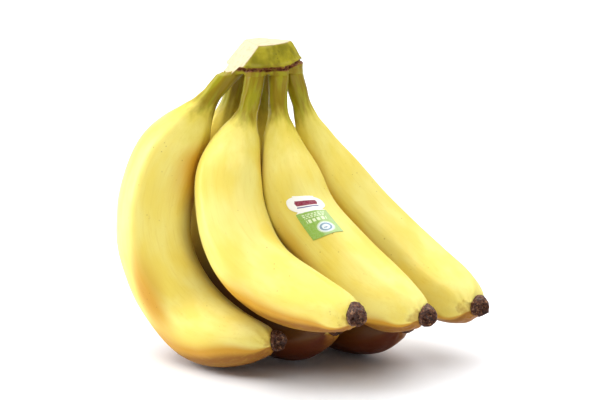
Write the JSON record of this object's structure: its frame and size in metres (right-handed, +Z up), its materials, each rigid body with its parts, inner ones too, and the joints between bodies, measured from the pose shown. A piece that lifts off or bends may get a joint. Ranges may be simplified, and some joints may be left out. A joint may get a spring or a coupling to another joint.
{
  "type": "bunch of bananas",
  "caption": "Bunch of curved ripe bananas on one cut crown, resting on its bellies with the tips pointing forward, with dried blossom ends and a paper sticker.",
  "frame": {"origin": "on the surface that the bunch rests on, under the middle of its box", "axes": "+Z up; X along the crown, from the left finger to the right one; the tips point towards -Y and +X"},
  "size_m": [0.1847, 0.1399, 0.1571],
  "materials": {
    "banana_peel": "ripe yellow banana skin, soft sheen, green at the neck",
    "crown_rind": "yellow-green fibrous rind with pale knife cuts",
    "dried_blossom": "dry dark brown flower remnant, rugged and dull",
    "sticker_paper": null
  },
  "bodies": {
    "root": {"crown": "crown_rind", "banana_left": "banana_peel", "banana_middle_left": "banana_peel", "banana_middle_right": "banana_peel", "banana_right": "banana_peel", "banana_back_left": "banana_peel", "banana_back_right": "banana_peel", "blossom_end_left": "dried_blossom", "blossom_end_middle_left": "dried_blossom", "blossom_end_middle_right": "dried_blossom", "blossom_end_right": "dried_blossom", "blossom_end_back_left": "dried_blossom", "blossom_end_back_right": "dried_blossom", "sticker": "sticker_paper"}
  },
  "joints": []
}
